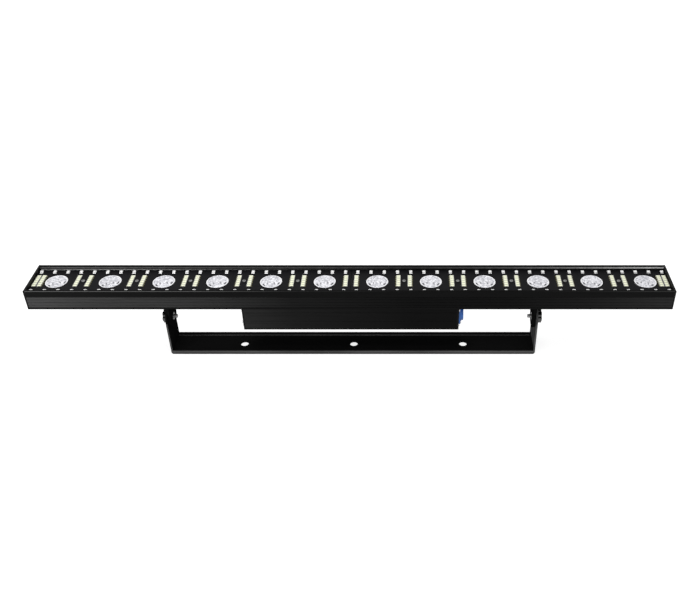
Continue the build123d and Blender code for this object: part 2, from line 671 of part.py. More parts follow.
def build_signal_inlet():
    front = BOX_HALF + SIGNAL_FLANGE
    body = connector_flange(SIGNAL_FLANGE)
    body -= rod_x(front - 15.0, front + 1, 0, 0, SIGNAL_CAVITY_RADIUS)
    for y, z in signal_pin_places():
        body -= rod_x(front - 19.0, front - 14.0, y, z, SIGNAL_PIN_RADIUS)
    return body


def build_signal_outlet():
    front = BOX_HALF + SIGNAL_FLANGE
    body = connector_flange(SIGNAL_FLANGE)
    ring = rod_x(front - 12.0, front + 1, 0, 0, 9.4) - rod_x(front - 13.0, front + 2, 0, 0, 7.8)
    body -= ring
    for y, z in signal_pin_places():
        body -= rod_x(front - 12.0, front + 1, y, z, 1.5)
    slot_y = LATCH_HALF_Y + LATCH_GAP
    slot_low = LATCH_Z - LATCH_HALF_Z - LATCH_GAP
    slot_high = LATCH_Z + LATCH_HALF_Z + LATCH_GAP
    depth = LATCH_LENGTH + LATCH_TRAVEL - LATCH_PROUD + 1.0
    body += block(BOX_HALF - depth - 1.5, BOX_HALF, -slot_y - 1, slot_y + 1, slot_low - 1, slot_high - 2.2)
    return body - block(front - depth, front + 1, -slot_y, slot_y, slot_low, slot_high)


def build_signal_latch():
    outer = BOX_HALF + SIGNAL_FLANGE + LATCH_PROUD
    inner = outer - LATCH_LENGTH
    tab = block(inner, outer, -LATCH_HALF_Y, LATCH_HALF_Y, LATCH_Z - LATCH_HALF_Z, LATCH_Z + LATCH_HALF_Z)
    return fillet(tab.faces().sort_by(Axis.X)[-1].edges(), 0.5)


def build_connector_screws():
    solids = []
    for _, side in SIDES:
        thickness = POWER_FLANGE if side > 0 else SIGNAL_FLANGE
        for centre in (-SOCKET_Y, SOCKET_Y):
            for dy, dz in CONNECTOR_SCREW_PLACES:
                fastener = Rot(0, 90, 0) * screw(1.25, 2.7, 1.6, thickness + BOX_END + 3)
                placed = Pos(BOX_HALF + thickness, centre + dy, SOCKET_Z + dz) * fastener
                solids.append(mirrored(placed, side))
    return group(solids)


def build_connector_contacts():
    solids = []
    power_floor = BOX_HALF + POWER_COLLAR - CAVITY_DEPTH
    signal_front = BOX_HALF + SIGNAL_FLANGE
    for centre in (-SOCKET_Y, SOCKET_Y):
        for angle in (90, 200, 340):
            y = centre + (CORE_RADIUS + 0.8) * math.cos(math.radians(angle))
            z = SOCKET_Z + (CORE_RADIUS + 0.8) * math.sin(math.radians(angle))
            solids.append(block(power_floor, power_floor + 11, y - 0.45, y + 0.45, z - 0.45, z + 0.45))
    for y, z in signal_pin_places():
        pin = rod_x(signal_front - 19.0, signal_front - 1.5, -SOCKET_Y + y, SOCKET_Z + z, SIGNAL_PIN_RADIUS)
        solids.append(mirrored(pin, -1))
        sleeve = rod_x(signal_front - 12.0, signal_front - 1.0, SOCKET_Y + y, SOCKET_Z + z, 1.4)
        solids.append(mirrored(sleeve, -1))
    return group(solids)


# ---- menu panel on the back of the driver box ----
BUTTON_X = (8.0, 20.0, 32.0, 44.0)
BUTTON_RADIUS = 3.6
BUTTON_GAP = 0.1
BUTTON_TRAVEL = 0.8
PANEL_FRONT = HALF_WIDTH - PANEL_RECESS
PANEL_BACK = BOX_INSIDE_HALF - 1.8
WINDOW_X = -26.0
WINDOW_HALF_X = 22.0
WINDOW_HALF_Z = 7.5
BUTTON_BACK = PANEL_BACK - 1.0
SWITCH_TOP = BUTTON_BACK - BUTTON_TRAVEL - 0.2
CONTROL_BOARD_Y = 24.4


def build_menu_panel():
    step_x = PANEL_HALF_X - 0.2
    step_z = PANEL_HALF_Z - 0.2
    panel = block(-step_x, step_x, BOX_INSIDE_HALF - 0.5, PANEL_FRONT, PANEL_Z - step_z, PANEL_Z + step_z)
    panel = fillet(panel.edges().filter_by(Axis.Y), 1.0)
    back_x = step_x + 3
    back_z = step_z + 2
    panel += block(-back_x, back_x, PANEL_BACK, BOX_INSIDE_HALF, PANEL_Z - back_z, PANEL_Z + back_z)
    x0 = WINDOW_X - WINDOW_HALF_X
    x1 = WINDOW_X + WINDOW_HALF_X
    z0 = PANEL_Z - WINDOW_HALF_Z
    z1 = PANEL_Z + WINDOW_HALF_Z
    panel -= block(x0, x1, PANEL_FRONT - 1.2, PANEL_FRONT + 1, z0, z1)
    panel -= block(x0 + 1, x1 - 1, PANEL_BACK - 1, PANEL_FRONT + 1, z0 + 1, z1 - 1)
    for x in BUTTON_X:
        panel -= rod_y(x, PANEL_BACK - 1, PANEL_FRONT + 1, PANEL_Z, BUTTON_RADIUS + BUTTON_GAP)
    return panel


def build_menu_window():
    pane_x = WINDOW_HALF_X - 0.1
    pane_z = WINDOW_HALF_Z - 0.1
    return block(WINDOW_X - pane_x, WINDOW_X + pane_x, PANEL_FRONT - 1.2, PANEL_FRONT - 0.2,
                 PANEL_Z - pane_z, PANEL_Z + pane_z)


def build_menu_button(x):
    cap = rod_y(x, PANEL_BACK - 0.5, HALF_WIDTH - 0.1, PANEL_Z, BUTTON_RADIUS)
    cap = fillet(cap.edges().sort_by(Axis.Y)[-1], 0.5)
    return cap + rod_y(x, BUTTON_BACK, PANEL_BACK - 0.1, PANEL_Z, BUTTON_RADIUS + 1.0)


def build_control_board():
    board = block(-54, 54, CONTROL_BOARD_Y, CONTROL_BOARD_Y + BOARD_THICK, PANEL_Z - 14, PANEL_Z + 14)
    face = CONTROL_BOARD_Y + BOARD_THICK
    solids = [board]
    screen_x = WINDOW_HALF_X - 2
    screen_z = WINDOW_HALF_Z - 1.5
    solids.append(block(WINDOW_X - screen_x, WINDOW_X + screen_x, face, PANEL_BACK - 0.2,
                        PANEL_Z - screen_z, PANEL_Z + screen_z))
    for x in BUTTON_X:
        switch = block(x - 3, x + 3, face, face + 3.2, PANEL_Z - 3, PANEL_Z + 3)
        solids.append(switch + rod_y(x, face + 3, SWITCH_TOP, PANEL_Z, 1.7))
    for x in (-48, 48):
        solids.append(rod_y(x, face, PANEL_BACK, PANEL_Z + 10, 2.5))
    return group(solids)


# ---- power supply inside the driver box ----
SUPPLY_BOARD_LOW = BOX_FLOOR + 4.0
SUPPLY_BOARD_TOP = SUPPLY_BOARD_LOW + BOARD_THICK
SUPPLY_X = 100.0
SUPPLY_Y0 = -30.0
SUPPLY_Y1 = 18.0
LEAD_RADIUS = 3.0


def build_supply_board():
    solids = [block(-SUPPLY_X, SUPPLY_X, SUPPLY_Y0, SUPPLY_Y1, SUPPLY_BOARD_LOW, SUPPLY_BOARD_TOP)]
    for x in (-SUPPLY_X + 6, SUPPLY_X - 6):
        for y in (SUPPLY_Y0 + 5, SUPPLY_Y1 - 5):
            solids.append(rod(x, y, BOX_FLOOR, SUPPLY_BOARD_LOW, 3.0))
    solids.append(block(-10, 10, -6, 6, SUPPLY_BOARD_TOP, SUPPLY_BOARD_TOP + 9))
    return group(solids)


def build_supply_transformer():
    core = block(18, 50, -24, 6, SUPPLY_BOARD_TOP, SUPPLY_BOARD_TOP + 24)
    core = chamfer(core.edges().filter_by(Axis.Z), 2.0)
    return core + block(23, 45, -27, 9, SUPPLY_BOARD_TOP + 2, SUPPLY_BOARD_TOP + 22)


def build_supply_capacitors():
    places = ((64, -16, 9.0), (64, 6, 8.0), (-22, -18, 7.0), (-40, -18, 7.0), (-22, 8, 6.0))
    return group(rod(x, y, SUPPLY_BOARD_TOP, SUPPLY_BOARD_TOP + 25, r) for x, y, r in places)


def build_supply_heat_sink():
    base = block(-92, -54, -22, -18, SUPPLY_BOARD_TOP, SUPPLY_BOARD_TOP + 26)
    for i in range(6):
        x = -90 + i * 6.6
        base += block(x, x + 1.6, -18.5, 4, SUPPLY_BOARD_TOP, SUPPLY_BOARD_TOP + 26)
    return base


def build_lead_grommet():
    ring = rod(0, 0, BAR_BOTTOM - 2.0, FLOOR_TOP + 2.0, 10.0)
    neck_cut = rod(0, 0, BAR_BOTTOM, FLOOR_TOP, 11.0)
    neck_cut -= rod(0, 0, BAR_BOTTOM, FLOOR_TOP, GROMMET_HOLE - 0.05)
    return ring - neck_cut - rod(0, 0, BAR_BOTTOM - 5, FLOOR_TOP + 5, LEAD_RADIUS + 0.05)


def build_board_lead():
    lead_bottom = SUPPLY_BOARD_TOP + 9
    plug_bottom = BOARD_BOTTOM - 7
    lead = rod(0, 0, lead_bottom, plug_bottom + 0.5, LEAD_RADIUS)
    return lead + block(-9, 9, -6, 6, plug_bottom, BOARD_BOTTOM)


# ---- every sub-part, written to its own file ----
def build_all():
    save("yoke", build_yoke())
    for name, side in SIDES:
        save(f"clamp_knob_{name}", mirrored(build_knob(), side))
        save(f"clamp_stud_{name}", mirrored(build_stud(), side))
        save(f"clamp_washer_{name}", mirrored(build_clamp_washer(), side))
        save(f"hinge_bracket_{name}", mirrored(build_hinge_bracket(), side))
        save(f"end_plate_{name}", mirrored(build_end_plate(), side))
        save(f"driver_end_plate_{name}", mirrored(build_driver_end_plate(), side))
        save(f"led_board_{name}", build_led_board(side))
    save("clamp_nuts", group(mirrored(build_clamp_nut(), side) for _, side in SIDES))
    save("housing", build_housing())
    save("end_plate_screws", build_end_plate_screws())
    save("board_screws", build_board_screws())
    save("rgb_leds", build_rgb_leds())
    save("white_leds", build_white_leds())
    for number, x in enumerate(LENS_X, start=1):
        save(f"lens_{number:02d}", build_lens(x))
    save("lens_holders", build_lens_holders())
    save("power_leds", build_power_leds())
    save("power_led_boards", build_power_led_boards())
    save("board_standoffs", build_board_standoffs())
    save("driver_box", build_driver_box())
    save("driver_end_screws", build_driver_end_screws())
    save("mounting_screws", build_mounting_screws())
    save("power_inlet", Pos(0, -SOCKET_Y, SOCKET_Z) * build_power_connector())
    save("power_outlet", Pos(0, SOCKET_Y, SOCKET_Z) * build_power_connector())
    save("signal_inlet", mirrored(Pos(0, -SOCKET_Y, SOCKET_Z) * build_signal_inlet(), -1))
    save("signal_outlet", mirrored(Pos(0, SOCKET_Y, SOCKET_Z) * build_signal_outlet(), -1))
    save("signal_latch", mirrored(Pos(0, SOCKET_Y, SOCKET_Z) * build_signal_latch(), -1))
    save("connector_screws", build_connector_screws())
    save("connector_contacts", build_connector_contacts())
    save("menu_panel", build_menu_panel())
    save("menu_window", build_menu_window())
    for number, x in enumerate(BUTTON_X, start=1):
        save(f"menu_button_{number}", build_menu_button(x))
    save("control_board", build_control_board())
    save("supply_board", build_supply_board())
    save("supply_transformer", build_supply_transformer())
    save("supply_capacitors", build_supply_capacitors())
    save("supply_heat_sink", build_supply_heat_sink())
    save("lead_grommet", build_lead_grommet())
    save("board_lead", build_board_lead())


build_all()
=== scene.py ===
import json
import math
import random

import bmesh
import bpy
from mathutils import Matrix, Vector


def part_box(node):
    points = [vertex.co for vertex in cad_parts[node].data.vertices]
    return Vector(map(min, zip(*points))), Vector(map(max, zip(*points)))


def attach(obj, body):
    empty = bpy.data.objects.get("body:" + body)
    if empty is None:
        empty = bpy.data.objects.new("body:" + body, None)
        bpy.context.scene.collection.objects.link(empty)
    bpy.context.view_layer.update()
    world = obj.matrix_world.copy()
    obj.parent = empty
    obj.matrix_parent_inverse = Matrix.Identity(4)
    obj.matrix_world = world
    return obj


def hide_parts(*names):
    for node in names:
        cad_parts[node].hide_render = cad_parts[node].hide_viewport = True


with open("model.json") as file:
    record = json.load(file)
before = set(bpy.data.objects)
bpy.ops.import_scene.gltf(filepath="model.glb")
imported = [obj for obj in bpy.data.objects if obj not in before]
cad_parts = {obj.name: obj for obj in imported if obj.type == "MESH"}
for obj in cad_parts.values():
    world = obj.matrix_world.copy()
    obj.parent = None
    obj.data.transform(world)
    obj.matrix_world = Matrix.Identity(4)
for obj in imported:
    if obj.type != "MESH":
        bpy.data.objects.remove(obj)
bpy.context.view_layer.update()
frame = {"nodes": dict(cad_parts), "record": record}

# LED strip batten on a floor yoke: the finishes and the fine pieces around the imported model. Metres.

MM = 0.001
nodes = frame["nodes"]


def middle(node):
    low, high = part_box(node)
    return (low + high) / 2


# ---- places read from the frame ----
BOARD_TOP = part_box("led_board_right")[1].z
RIM_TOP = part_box("housing")[1].z
HALF_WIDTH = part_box("housing")[1].y
LENSES = [f"lens_{number:02d}" for number in range(1, 13)]
LENS_X = [middle(name).x for name in LENSES]
LENS_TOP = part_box("lens_01")[1].z
LENS_RADIUS = (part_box("lens_01")[1].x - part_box("lens_01")[0].x) / 2
LENS_PITCH = LENS_X[1] - LENS_X[0]
RGB_SIZE = 5.0 * MM
RGB_ROW_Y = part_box("rgb_leds")[1].y - RGB_SIZE / 2
RGB_X = [x + LENS_PITCH * step / 8 for x in LENS_X for step in (-3, -1, 1, 3)]
WHITE_SIZE = (6.6 * MM, 4.8 * MM, 1.2 * MM)
WHITE_COUNT = 6
WHITE_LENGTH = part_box("white_leds")[1].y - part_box("white_leds")[0].y
WHITE_PITCH = (WHITE_LENGTH - WHITE_SIZE[1]) / (WHITE_COUNT - 1)
COLUMN_OFFSET = 33.05 * MM
END_COLUMN_OFFSETS = (22.9 * MM, 31.05 * MM)
INNER_OFFSET, OUTER_OFFSET = END_COLUMN_OFFSETS
# each column of white LEDs: its place along the bar, and the side that its solder joints are on
COLUMNS = [(x - COLUMN_OFFSET, 1) for x in LENS_X[1:]] + [(x + COLUMN_OFFSET, -1) for x in LENS_X[:-1]]
for end, x in ((-1, LENS_X[0]), (1, LENS_X[-1])):
    COLUMNS += [(x + end * INNER_OFFSET, -end), (x + end * OUTER_OFFSET, end)]


# ---- helpers for node trees ----
def add(tree, kind, **values):
    node = tree.nodes.new(kind)
    for name, value in values.items():
        setattr(node, name, value)
    return node


def new_group(name, kind, inputs, outputs):
    group = bpy.data.node_groups.new(name, kind)
    for label, (socket_kind, value) in inputs.items():
        socket = group.interface.new_socket(label, in_out="INPUT", socket_type=socket_kind)
        if value is not None:
            socket.default_value = value
    for label, socket_kind in outputs.items():
        group.interface.new_socket(label, in_out="OUTPUT", socket_type=socket_kind)
    return group, group.nodes.new("NodeGroupInput"), group.nodes.new("NodeGroupOutput")


FLOAT = "NodeSocketFloat"
COLOUR = "NodeSocketColor"
VECTOR = "NodeSocketVector"
WHOLE = "NodeSocketInt"
OBJECT = "NodeSocketObject"
MATERIAL = "NodeSocketMaterial"
MESH = "NodeSocketGeometry"
MIX_A, MIX_B, MIX_RESULT = 6, 7, 2


def feed(tree, socket, value):
    """Gives a socket a constant, or links another socket into it."""
    if isinstance(value, (int, float, tuple)):
        socket.default_value = value
    else:
        tree.links.new(value, socket)


def combine(tree, operation, *values):
    node = add(tree, "ShaderNodeMath", operation=operation)
    for index, value in enumerate(values):
        feed(tree, node.inputs[index], value)
    return node.outputs[0]


def multiply_add(tree, value, factor, offset):
    return combine(tree, "MULTIPLY_ADD", value, factor, offset)


def colour_mix(tree, factor, first, second):
    node = add(tree, "ShaderNodeMix", data_type="RGBA")
    for socket, value in (("Factor", factor), (MIX_A, first), (MIX_B, second)):
        feed(tree, node.inputs[socket], value)
    return node.outputs[MIX_RESULT]


def map_range(tree, value, start, end, low=0.0, high=1.0, kind="LINEAR"):
    node = add(tree, "ShaderNodeMapRange", interpolation_type=kind)
    for label, number in (("From Min", start), ("From Max", end), ("To Min", low), ("To Max", high)):
        node.inputs[label].default_value = number
    tree.links.new(value, node.inputs["Value"])
    return node.outputs["Result"]


def band(tree, value, low, high, soft):
    """1 between low and high, fading to 0 over soft on each side."""
    rise = map_range(tree, value, low - soft, low + soft, kind="SMOOTHSTEP")
    fall = map_range(tree, value, high + soft, high - soft, kind="SMOOTHSTEP")
    return combine(tree, "MULTIPLY", rise, fall)


def object_place(tree):
    return add(tree, "ShaderNodeTexCoord").outputs["Object"]


def axes_of(tree, vector):
    apart = add(tree, "ShaderNodeSeparateXYZ")
    tree.links.new(vector, apart.inputs[0])
    return apart.outputs["X"], apart.outputs["Y"], apart.outputs["Z"]


def stretch_of(tree, vector, factors):
    node = add(tree, "ShaderNodeVectorMath", operation="MULTIPLY")
    feed(tree, node.inputs[0], vector)
    feed(tree, node.inputs[1], factors)
    return node.outputs["Vector"]


def noise(tree, vector, scale, detail=2.0, roughness=0.5):
    node = add(tree, "ShaderNodeTexNoise")
    for label, value in (("Vector", vector), ("Scale", scale), ("Detail", detail), ("Roughness", roughness)):
        feed(tree, node.inputs[label], value)
    return node.outputs["Fac"]


# ---- shared surface effects ----
def build_grain():
    group, given, result = new_group(
        "surface_grain", "ShaderNodeTree",
        {"Colour": (COLOUR, (0.1, 0.1, 0.1, 1)), "Second Colour": (COLOUR, (0.2, 0.2, 0.2, 1)),
         "Stretch": (VECTOR, (1, 1, 1)), "Scale": (FLOAT, 500.0), "Clouding": (FLOAT, 0.4),
         "Roughness": (FLOAT, 0.4), "Roughness Change": (FLOAT, 0.1)},
        {"Colour": COLOUR, "Roughness": FLOAT, "Height": FLOAT},
    )
    place = object_place(group)
    stretched = stretch_of(group, place, given.outputs["Stretch"])
    fine = noise(group, stretched, given.outputs["Scale"], detail=3.0)
    clouds = noise(group, place, scale=14.0, detail=4.0)
    link = group.links.new
    cloud_share = multiply_add(group, clouds, given.outputs["Clouding"], 0.0)
    blend = multiply_add(group, fine, 0.6, cloud_share)
    colour = colour_mix(group, blend, given.outputs["Colour"], given.outputs["Second Colour"])
    rough = multiply_add(group, blend, given.outputs["Roughness Change"], given.outputs["Roughness"])
    link(colour, result.inputs["Colour"])
    link(rough, result.inputs["Roughness"])
    link(fine, result.inputs["Height"])
    return group


def build_dust():
    group, given, result = new_group(
        "settled_dust", "ShaderNodeTree",
        {"Colour": (COLOUR, (0.1, 0.1, 0.1, 1)), "Roughness": (FLOAT, 0.4), "Amount": (FLOAT, 0.2),
         "Dust Colour": (COLOUR, (0.35, 0.33, 0.3, 1))},
        {"Colour": COLOUR, "Roughness": FLOAT},
    )
    specks = noise(group, object_place(group), scale=260.0, detail=6.0, roughness=0.7)
    link = group.links.new
    mask = multiply_add(group, map_range(group, specks, 0.52, 0.78), given.outputs["Amount"], 0.0)
    colour = colour_mix(group, mask, given.outputs["Colour"], given.outputs["Dust Colour"])
    link(colour, result.inputs["Colour"])
    link(multiply_add(group, mask, 0.5, given.outputs["Roughness"]), result.inputs["Roughness"])
    return group


GRAIN = build_grain()
DUST = build_dust()


def grey(value, blue=1.0):
    return (value, value, value * blue, 1.0)


def new_material(name):
    material = bpy.data.materials.new(name)
    material.use_nodes = True
    shader = material.node_tree.nodes["Principled BSDF"]
    return material, material.node_tree, shader


def finish_material(name, colour, second, roughness=0.4, change=0.1, stretch=(1, 1, 1), scale=600.0,
                    clouding=0.4, bump=0.1, depth=0.02, dust=0.1, **shader_values):
    material, tree, shader = new_material(name)
    grain = add(tree, "ShaderNodeGroup", node_tree=GRAIN)
    for label, value in (("Colour", colour), ("Second Colour", second), ("Stretch", stretch),
                         ("Scale", scale), ("Clouding", clouding), ("Roughness", roughness),
                         ("Roughness Change", change)):
        grain.inputs[label].default_value = value
    settled = add(tree, "ShaderNodeGroup", node_tree=DUST)
    settled.inputs["Amount"].default_value = dust
    bumps = add(tree, "ShaderNodeBump")
    bumps.inputs["Strength"].default_value = bump
    bumps.inputs["Distance"].default_value = depth * MM
    link = tree.links.new
    link(grain.outputs["Colour"], settled.inputs["Colour"])
    link(grain.outputs["Roughness"], settled.inputs["Roughness"])
    link(settled.outputs["Colour"], shader.inputs["Base Color"])
    link(settled.outputs["Roughness"], shader.inputs["Roughness"])
    link(grain.outputs["Height"], bumps.inputs["Height"])
    link(bumps.outputs["Normal"], shader.inputs["Normal"])
    for label, value in shader_values.items():
        shader.inputs[label.replace("_", " ")].default_value = value
    return material


def base_colour_of(material):
    """The shader of a material, and what feeds its base colour."""
    shader = material.node_tree.nodes["Principled BSDF"]
    return shader, shader.inputs["Base Color"].links[0].from_socket


# ---- the extruded housing and driver box, and the boards ----
BEYOND = 1.0  # past every part of the lamp
LENGTHWISE = (0.01, 1.0, 1.0)
STREAKS_STRETCH = (0.06, 1.0, 3.0)
RIBS_TOP = RIM_TOP - 10.9 * MM
RIBS_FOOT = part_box("housing")[0].z + 3.2 * MM
BOX_RIBS_FOOT = 62.0 * MM
LIP_INNER = HALF_WIDTH - 4.6 * MM
LIP_PAINTED_LIGHT_TOP = RIM_TOP - 0.9 * MM
RIM_UNDER = BOARD_TOP + 2.6 * MM
RIM_EDGE = 0.7 * MM
BOARD_EDGE_Y = HALF_WIDTH - 4.7 * MM
HALF_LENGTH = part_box("housing")[1].x

# painted light and shade along the bar: how pale each part of the bar is painted at places along it, as (x,
# grey)
# painted light: the ribbed band is painted paler towards both ends of the bar, palest at the left
RIB_PAINTED_LIGHT = ((-0.47, 0.072), (-0.38, 0.06), (-0.245, 0.048), (-0.09, 0.0145), (0.1, 0.005), (0.25, 0.006),
             (0.375, 0.015), (0.475, 0.03))
# painted highlight along the rim's front top edge, strongest towards the left end
EDGE_PAINTED_HIGHLIGHT = ((-0.47, 0.1), (-0.245, 0.085), (-0.09, 0.014), (0.1, 0.001), (0.25, 0.001), (0.375, 0.011),
              (0.475, 0.035))
# painted light on the inner faces of the rim's lips, palest at the right end
INNER_PAINTED_LIGHT = ((-0.47, 0.16), (-0.2, 0.12), (-0.05, 0.11), (0.1, 0.06), (0.25, 0.15), (0.375, 0.36),
               (0.475, 0.75))
# painted highlight along the board's rear edge
BOARD_EDGE_PAINTED_HIGHLIGHT = ((-0.36, 0.85), (-0.245, 0.37), (-0.09, 0.1), (0.1, 0.02), (0.475, 0.03))


def along_bar(tree, x, tones):
    """A grey that follows the given tones along the bar."""
    share = map_range(tree, x, -HALF_LENGTH, HALF_LENGTH)
    ramp = add(tree, "ShaderNodeValToRGB")
    stops = ramp.color_ramp.elements
    while len(stops) < len(tones):
        stops.new(0.5)
    for stop, (place, value) in zip(stops, tones):
        stop.position = (place + HALF_LENGTH) / (2 * HALF_LENGTH)
        stop.color = grey(value)
    tree.links.new(share, ramp.inputs["Fac"])
    return ramp.outputs["Color"]


def extrusion_material(name, colour, second, lowest, with_rim):
    """Black anodised aluminium with streaked ribs painted paler towards the ends as painted light; the
    housing's rim has a painted dark top, a painted highlight on its front edge and painted light on its inner
    lips.
    """
    material = finish_material(name, colour, second, 0.34, 0.12, LENGTHWISE, 900.0, bump=0.25, depth=0.03,
                               dust=0.0, Specular_IOR_Level=0.03)
    tree = material.node_tree
    shader, base = base_colour_of(material)
    place = object_place(tree)
    x, y, z = axes_of(tree, place)
    streaks = noise(tree, stretch_of(tree, place, STREAKS_STRETCH), scale=260.0)
    # painted light: the ribbed band takes the grey painted along the bar, broken up by streaks
    ribs = band(tree, z, lowest, RIBS_TOP, 0.3 * MM)
    streaked = combine(tree, "MULTIPLY", ribs, multiply_add(tree, streaks, 1.2, 0.35))
    base = colour_mix(tree, streaked, base, along_bar(tree, x, RIB_PAINTED_LIGHT))
    if with_rim:
        # painted shade: the rim's top face is painted darker than the rest of the housing
        top = band(tree, z, RIM_TOP - 0.2 * MM, BEYOND, 0.1 * MM)
        base = colour_mix(tree, top, base, grey(0.001))
        # painted light on the inner faces of the lips, under the rim's top
        inside = band(tree, combine(tree, "ABSOLUTE", y), -BEYOND, LIP_INNER, 0.2 * MM)
        within = combine(tree, "MULTIPLY", inside, band(tree, z, RIM_UNDER, LIP_PAINTED_LIGHT_TOP, 0.2 * MM))
        base = colour_mix(tree, within, base, along_bar(tree, x, INNER_PAINTED_LIGHT))
        # painted highlight along the rim's front top edge
        front = band(tree, y, -BEYOND, RIM_EDGE - HALF_WIDTH, 0.3 * MM)
        edge = combine(tree, "MULTIPLY", front, band(tree, z, RIM_TOP - RIM_EDGE, BEYOND, 0.3 * MM))
        base = colour_mix(tree, edge, base, along_bar(tree, x, EDGE_PAINTED_HIGHLIGHT))
    tree.links.new(base, shader.inputs["Base Color"])
    return material


def board_material():
    """Black solder mask, with a painted highlight along the rear edge, strongest towards the left end."""
    material = finish_material("board_solder_mask", grey(0.002, 1.2), grey(0.006, 1.2), 0.4, 0.15,
                               scale=160.0, bump=0.1, dust=0.01, Specular_IOR_Level=0.05)
    tree = material.node_tree
    shader, base = base_colour_of(material)
    x, y, _ = axes_of(tree, object_place(tree))
    # painted highlight along the rear edge
    edge = band(tree, y, BOARD_EDGE_Y, BEYOND, 0.2 * MM)
    base = colour_mix(tree, edge, base, along_bar(tree, x, BOARD_EDGE_PAINTED_HIGHLIGHT))
    tree.links.new(base, shader.inputs["Base Color"])
    return material


# ---- the yoke, with painted highlights on its lips and painted light on one arm ----
YOKE_HALF_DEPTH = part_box("yoke")[1].y
YOKE_HALF_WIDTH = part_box("yoke")[1].x
YOKE_THICK = 3.0 * MM
YOKE_LIP_BEND = 1.5 * MM
PATCHES_STRETCH = (0.12, 1.0, 1.0)
# where the painted highlights on the lips and the painted light on the arm begin
YOKE_SHEEN_FROM = 3.1 * MM  # height on the lips' outer faces
YOKE_ARM_LIT_FROM = 14.0 * MM  # height on the arm
YOKE_ARM_REACH = 6.0 * MM  # from the yoke's end, past the arm's thickness


def yoke_material():
    """Black powder coat, painted paler as painted highlights on the lips' outer faces and in the bends at
    their feet, and as painted light on one arm.
    """
    material = finish_material("yoke_powder_coat", grey(0.006), grey(0.013), 0.36, 0.14, scale=900.0,
                               bump=0.3, depth=0.05, dust=0.0, Specular_IOR_Level=0.0)
    tree = material.node_tree
    shader, base = base_colour_of(material)
    place = object_place(tree)
    x, y, z = axes_of(tree, place)
    patches = noise(tree, stretch_of(tree, place, PATCHES_STRETCH), scale=60.0, detail=3.0)
    across = combine(tree, "ABSOLUTE", y)
    # painted highlights on the lips' outer faces and in the bends at their feet, broken up by patches
    face = combine(tree, "MULTIPLY", band(tree, across, YOKE_HALF_DEPTH - 0.1 * MM, BEYOND, 0.05 * MM),
                   band(tree, z, YOKE_SHEEN_FROM, BEYOND, 0.9 * MM))
    lip = YOKE_HALF_DEPTH - YOKE_THICK
    foot = combine(tree, "MULTIPLY", band(tree, across, lip - YOKE_LIP_BEND, lip, 0.4 * MM),
                   band(tree, z, YOKE_THICK + 0.1 * MM, YOKE_THICK + YOKE_LIP_BEND, 0.3 * MM))
    painted_sheen = combine(tree, "MAXIMUM", face, foot)
    painted_sheen = combine(tree, "MULTIPLY", painted_sheen, multiply_add(tree, patches, 1.4, -0.1))
    base = colour_mix(tree, painted_sheen, base, grey(0.2))
    # painted light on the arm at +X, which faces the light from the left
    arm = combine(tree, "MULTIPLY", band(tree, x, YOKE_HALF_WIDTH - YOKE_ARM_REACH, BEYOND, 0.2 * MM),
                  band(tree, z, YOKE_ARM_LIT_FROM, BEYOND, 4.0 * MM))
    base = colour_mix(tree, combine(tree, "MULTIPLY", arm, patches), base, grey(0.16))
    tree.links.new(base, shader.inputs["Base Color"])
    return material


# ---- the lenses: painted reflections and refractions, as a pattern in shares of the radius, turned a little with the lens's place along the bar ----
LENS_PAINTED_ARCS = ((0.7, 0.84, -0.76, -0.3), (0.71, 0.85, -2.86, -2.44))  # radius from, to, angle from, to
LENS_PAINTED_STREAKS = ((-0.4, -0.31, -0.34, -0.06), (0.23, 0.32, -0.42, -0.08))  # x from, to, y from, to
LENS_GLINTS = ((-0.58, -0.48, -0.36, -0.16), (0.38, 0.5, -0.44, -0.2), (0.02, 0.14, -0.22, -0.06),
               (-0.72, -0.56, -0.78, -0.62), (0.5, 0.7, -0.8, -0.64))
LENS_TURN_PER_METRE = -0.75
LENS_UNTURNED_X = 0.12
LENS_DIM = (0.25, 0.25, 0.29, 1)
LENS_PALE = (0.88, 0.88, 0.92, 1)
LENS_SHINE = (0.93, 0.93, 0.95, 1)
LENS_DARK = (0.035, 0.035, 0.045, 1)


def within_box(tree, x, y, limits, soft_x, soft_y):
    x0, x1, y0, y1 = limits
    return combine(tree, "MULTIPLY", band(tree, x, x0, x1, soft_x), band(tree, y, y0, y1, soft_y))


